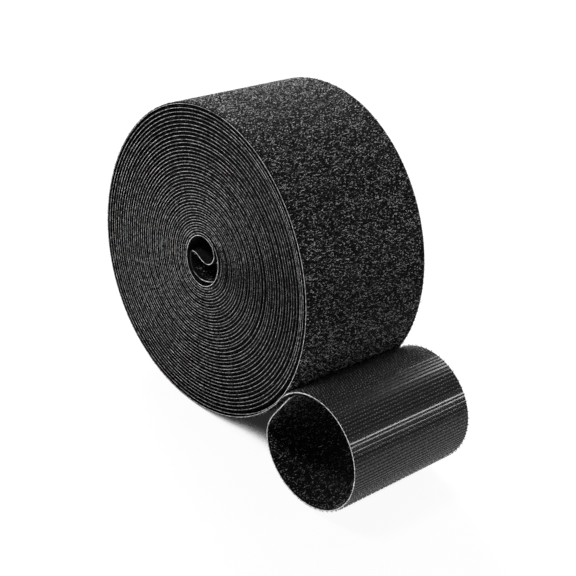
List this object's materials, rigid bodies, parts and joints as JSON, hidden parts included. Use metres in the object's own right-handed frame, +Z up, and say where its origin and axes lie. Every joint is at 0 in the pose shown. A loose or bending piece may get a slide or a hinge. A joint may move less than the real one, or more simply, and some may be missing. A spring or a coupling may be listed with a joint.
{
  "type": "hook and loop tape roll",
  "caption": "Coreless roll of back-to-back hook and loop tape, loop pile outside, with its start folded in an S across the eye and a free end that curls back with its hooks outward.",
  "frame": {"origin": "on the floor, at the middle of the flat on which the roll stands, under the roll's axis and midway along the tape's width", "axes": "+X from the roll to the curled end, +Y along the roll's axis, +Z up"},
  "size_m": [0.1323, 0.0508, 0.1024],
  "materials": {
    "loop_fabric": "black napped loop pile, with grey light on single filaments",
    "hook_film": "black satin moulded film with fine rows of hooks and a paler cut edge"
  },
  "bodies": {
    "roll": {"wound_loop_fabric": "loop_fabric", "wound_hook_film": "hook_film", "start_fold_loop_fabric": "loop_fabric", "start_fold_hook_film": "hook_film"},
    "tail_01": {"tail_loop_fabric_01": "loop_fabric", "tail_hook_film_01": "hook_film"},
    "tail_02": {"tail_loop_fabric_02": "loop_fabric", "tail_hook_film_02": "hook_film"},
    "tail_03": {"tail_loop_fabric_03": "loop_fabric", "tail_hook_film_03": "hook_film"},
    "tail_04": {"tail_loop_fabric_04": "loop_fabric", "tail_hook_film_04": "hook_film"},
    "tail_05": {"tail_loop_fabric_05": "loop_fabric", "tail_hook_film_05": "hook_film"},
    "tail_06": {"tail_loop_fabric_06": "loop_fabric", "tail_hook_film_06": "hook_film"},
    "tail_07": {"tail_loop_fabric_07": "loop_fabric", "tail_hook_film_07": "hook_film"},
    "tail_08": {"tail_loop_fabric_08": "loop_fabric", "tail_hook_film_08": "hook_film"},
    "tail_09": {"tail_loop_fabric_09": "loop_fabric", "tail_hook_film_09": "hook_film"},
    "tail_10": {"tail_loop_fabric_10": "loop_fabric", "tail_hook_film_10": "hook_film"},
    "tail_11": {"tail_loop_fabric_11": "loop_fabric", "tail_hook_film_11": "hook_film"},
    "tail_12": {"tail_loop_fabric_12": "loop_fabric", "tail_hook_film_12": "hook_film"}
  },
  "joints": [
    {"name": "tail_flex_01", "type": "hinge", "parent": "roll", "child": "tail_01", "pos_m": [0.048, 0, 0.03211], "axis": [0, -1, 0], "range_deg": [0, 30], "stiffness_Nm_per_rad": 0.015},
    {"name": "tail_flex_02", "type": "hinge", "parent": "tail_01", "child": "tail_02", "pos_m": [0.05681, 0, 0.03719], "axis": [0, -1, 0], "range_deg": [0, 30], "stiffness_Nm_per_rad": 0.015},
    {"name": "tail_flex_03", "type": "hinge", "parent": "tail_02", "child": "tail_03", "pos_m": [0.06689, 0, 0.03719], "axis": [0, -1, 0], "range_deg": [0, 30], "stiffness_Nm_per_rad": 0.015},
    {"name": "tail_flex_04", "type": "hinge", "parent": "tail_03", "child": "tail_04", "pos_m": [0.07554, 0, 0.0322], "axis": [0, -1, 0], "range_deg": [0, 30], "stiffness_Nm_per_rad": 0.015},
    {"name": "tail_flex_05", "type": "hinge", "parent": "tail_04", "child": "tail_05", "pos_m": [0.08049, 0, 0.02363], "axis": [0, -1, 0], "range_deg": [0, 30], "stiffness_Nm_per_rad": 0.015},
    {"name": "tail_flex_06", "type": "hinge", "parent": "tail_05", "child": "tail_06", "pos_m": [0.08049, 0, 0.01382], "axis": [0, -1, 0], "range_deg": [0, 30], "stiffness_Nm_per_rad": 0.015},
    {"name": "tail_flex_07", "type": "hinge", "parent": "tail_06", "child": "tail_07", "pos_m": [0.07563, 0, 0.00541], "axis": [0, -1, 0], "range_deg": [0, 30], "stiffness_Nm_per_rad": 0.015},
    {"name": "tail_flex_08", "type": "hinge", "parent": "tail_07", "child": "tail_08", "pos_m": [0.0673, 0, 0.0006], "axis": [0, -1, 0], "range_deg": [0, 30], "stiffness_Nm_per_rad": 0.015},
    {"name": "tail_flex_09", "type": "hinge", "parent": "tail_08", "child": "tail_09", "pos_m": [0.05777, 0, 0.0006], "axis": [0, -1, 0], "range_deg": [0, 30], "stiffness_Nm_per_rad": 0.015},
    {"name": "tail_flex_10", "type": "hinge", "parent": "tail_09", "child": "tail_10", "pos_m": [0.0496, 0, 0.00532], "axis": [0, -1, 0], "range_deg": [0, 30], "stiffness_Nm_per_rad": 0.015},
    {"name": "tail_flex_11", "type": "hinge", "parent": "tail_10", "child": "tail_11", "pos_m": [0.04492, 0, 0.01341], "axis": [0, -1, 0], "range_deg": [0, 30], "stiffness_Nm_per_rad": 0.015},
    {"name": "tail_flex_12", "type": "hinge", "parent": "tail_11", "child": "tail_12", "pos_m": [0.04492, 0, 0.02267], "axis": [0, -1, 0], "range_deg": [0, 30], "stiffness_Nm_per_rad": 0.015}
  ],
  "couplings": [
    {"joint": "tail_flex_02", "follows": "tail_flex_01", "ratio": 1},
    {"joint": "tail_flex_03", "follows": "tail_flex_01", "ratio": 1},
    {"joint": "tail_flex_04", "follows": "tail_flex_01", "ratio": 1},
    {"joint": "tail_flex_05", "follows": "tail_flex_01", "ratio": 1},
    {"joint": "tail_flex_06", "follows": "tail_flex_01", "ratio": 1},
    {"joint": "tail_flex_07", "follows": "tail_flex_01", "ratio": 1},
    {"joint": "tail_flex_08", "follows": "tail_flex_01", "ratio": 1},
    {"joint": "tail_flex_09", "follows": "tail_flex_01", "ratio": 1},
    {"joint": "tail_flex_10", "follows": "tail_flex_01", "ratio": 1},
    {"joint": "tail_flex_11", "follows": "tail_flex_01", "ratio": 1},
    {"joint": "tail_flex_12", "follows": "tail_flex_01", "ratio": 1}
  ]
}
